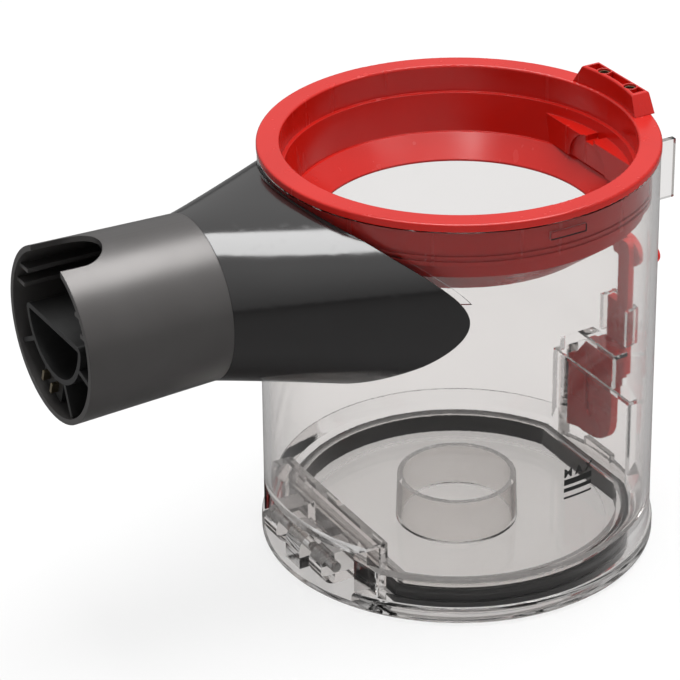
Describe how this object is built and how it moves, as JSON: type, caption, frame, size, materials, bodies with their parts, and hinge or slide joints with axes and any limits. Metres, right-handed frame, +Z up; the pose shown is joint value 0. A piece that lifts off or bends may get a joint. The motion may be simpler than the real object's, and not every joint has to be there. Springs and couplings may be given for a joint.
{
  "type": "cyclone dust bin",
  "caption": "Clear round dust bin with a red collar, a dark side inlet and fairing, a hinged clear base with a seal, and a red sliding release at the rear",
  "frame": {"origin": "On the bin's axis, on the flat underside of the base", "axes": "+Z up the bin's axis, -X along the inlet towards its mouth, +X to the release slider at the rear"},
  "size_m": [0.1892, 0.114, 0.1286],
  "materials": {
    "clear_plastic": "clear moulded polycarbonate",
    "red_plastic": "glossy red moulded plastic",
    "dark_gloss_plastic": "glossy charcoal moulded plastic",
    "dark_satin_plastic": "satin grey coat on moulded plastic",
    "black_plastic": "plain black moulded plastic",
    "black_rubber": "soft black rubber",
    "pin_steel": "plain steel",
    "contact_brass": "plated contact metal"
  },
  "bodies": {
    "bin": {"clear_bin": "clear_plastic", "collar": "red_plastic", "connector_housing": "red_plastic", "inlet_fairing": "dark_gloss_plastic", "inlet_tube": "dark_satin_plastic", "inlet_duct": "black_plastic", "contact_carrier": "black_plastic", "contact_blade_1": "contact_brass", "contact_blade_2": "contact_brass", "contact_socket_1": "contact_brass", "contact_socket_2": "contact_brass", "hinge_pin": "pin_steel"},
    "base": {"base_flap": "clear_plastic", "base_seal": "black_rubber"},
    "slider": {"release_slider": "red_plastic"}
  },
  "joints": [
    {"name": "base_hinge", "type": "hinge", "parent": "bin", "child": "base", "pos_m": [-0.05, 0, 0.008], "axis": [0, 1, 0], "range_deg": [0, 95]},
    {"name": "slider_slide", "type": "slide", "parent": "bin", "child": "slider", "axis": [0, 0, -1], "range_m": [0, 0.0055]}
  ]
}
